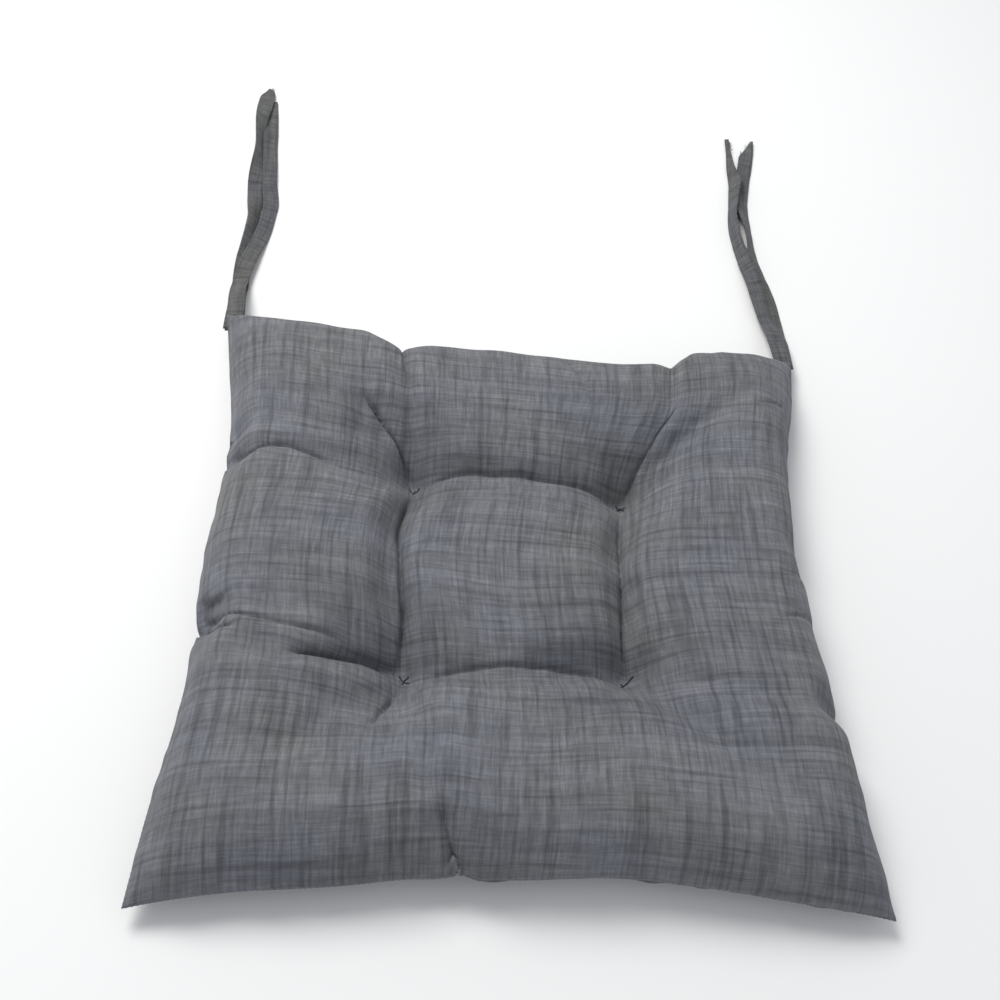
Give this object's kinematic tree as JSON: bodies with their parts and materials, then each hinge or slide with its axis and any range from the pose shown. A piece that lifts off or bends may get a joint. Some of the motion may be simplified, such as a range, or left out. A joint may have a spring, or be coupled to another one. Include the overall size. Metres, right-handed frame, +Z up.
{
  "type": "chair seat pad",
  "caption": "Square knife-edge chair seat pad of slub-woven cloth, stuffed with fibre, tufted with thread, with cloth ties at its rear corners.",
  "frame": {"origin": "middle of the pad, on the surface it lies on", "axes": "+Z up out of the seat, +Y towards the rear edge with the ties, +X to the sitter's right when facing the rear edge"},
  "size_m": [0.4121, 0.6894, 0.0568],
  "materials": {
    "cover_cloth": "grey-blue slub weave, matt",
    "tie_cloth": "the same slub weave, folded and stitched",
    "fibre": "white polyester fibre, matt",
    "sewing_thread": "spun polyester thread, slight sheen",
    "tuft_cord": "doubled dark thread, slight sheen"
  },
  "bodies": {
    "root": {"top_panel": "cover_cloth", "bottom_panel": "cover_cloth", "fibre_fill": "fibre", "edge_seam_thread": "sewing_thread", "closing_seam_thread": "sewing_thread", "tuft_thread_rear_left": "tuft_cord", "tuft_thread_rear_right": "tuft_cord", "tuft_thread_front_left": "tuft_cord", "tuft_thread_front_right": "tuft_cord", "bar_tack_left": "sewing_thread", "bar_tack_right": "sewing_thread"},
    "tie_left_outer_strip": {"tie_left_outer": "tie_cloth", "tie_stitching_left_outer": "sewing_thread"},
    "tie_left_inner_strip": {"tie_left_inner": "tie_cloth", "tie_stitching_left_inner": "sewing_thread"},
    "tie_right_inner_strip": {"tie_right_inner": "tie_cloth", "tie_stitching_right_inner": "sewing_thread"},
    "tie_right_outer_strip": {"tie_right_outer": "tie_cloth", "tie_stitching_right_outer": "sewing_thread"}
  },
  "joints": [
    {"name": "tie_left_outer_swing", "type": "hinge", "parent": "root", "child": "tie_left_outer_strip", "pos_m": [-0.194, 0.203, 0.02], "axis": [1, 0, 0], "range_deg": [0, 120]},
    {"name": "tie_left_inner_swing", "type": "hinge", "parent": "root", "child": "tie_left_inner_strip", "pos_m": [-0.194, 0.203, 0.02], "axis": [1, 0, 0], "range_deg": [0, 120]},
    {"name": "tie_right_inner_swing", "type": "hinge", "parent": "root", "child": "tie_right_inner_strip", "pos_m": [0.194, 0.203, 0.012], "axis": [1, 0, 0], "range_deg": [0, 120]},
    {"name": "tie_right_outer_swing", "type": "hinge", "parent": "root", "child": "tie_right_outer_strip", "pos_m": [0.194, 0.203, 0.012], "axis": [1, 0, 0], "range_deg": [0, 120]}
  ],
  "couplings": [
    {"joint": "tie_left_inner_swing", "follows": "tie_left_outer_swing", "ratio": 1},
    {"joint": "tie_right_inner_swing", "follows": "tie_right_outer_swing", "ratio": 1}
  ]
}
